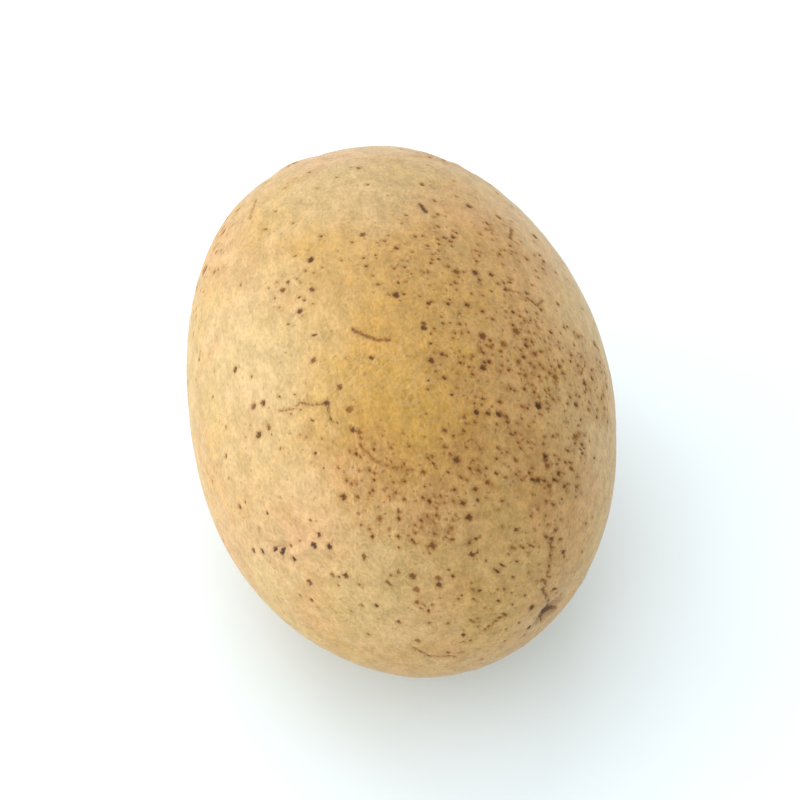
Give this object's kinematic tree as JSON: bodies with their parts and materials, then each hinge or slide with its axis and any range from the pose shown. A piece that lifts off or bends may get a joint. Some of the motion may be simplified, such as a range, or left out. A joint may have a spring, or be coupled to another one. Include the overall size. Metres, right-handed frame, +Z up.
{
  "type": "potato",
  "caption": "Whole unpeeled table potato, an egg-shaped tuber with thin ochre skin, shallow eyes, brown pores and russet patches, lying on a small flat spot.",
  "frame": {"origin": "on the surface the potato rests on, under the middle of its box", "axes": "+X along its length to the stem end, +Z up, away from the flat spot it rests on"},
  "size_m": [0.084, 0.059, 0.055],
  "materials": {
    "skin": "thin waxy potato skin, ochre yellow with cream, pinkish and russet patches and brown pores, soft satin sheen"
  },
  "bodies": {
    "root": {"potato": "skin"}
  },
  "joints": []
}
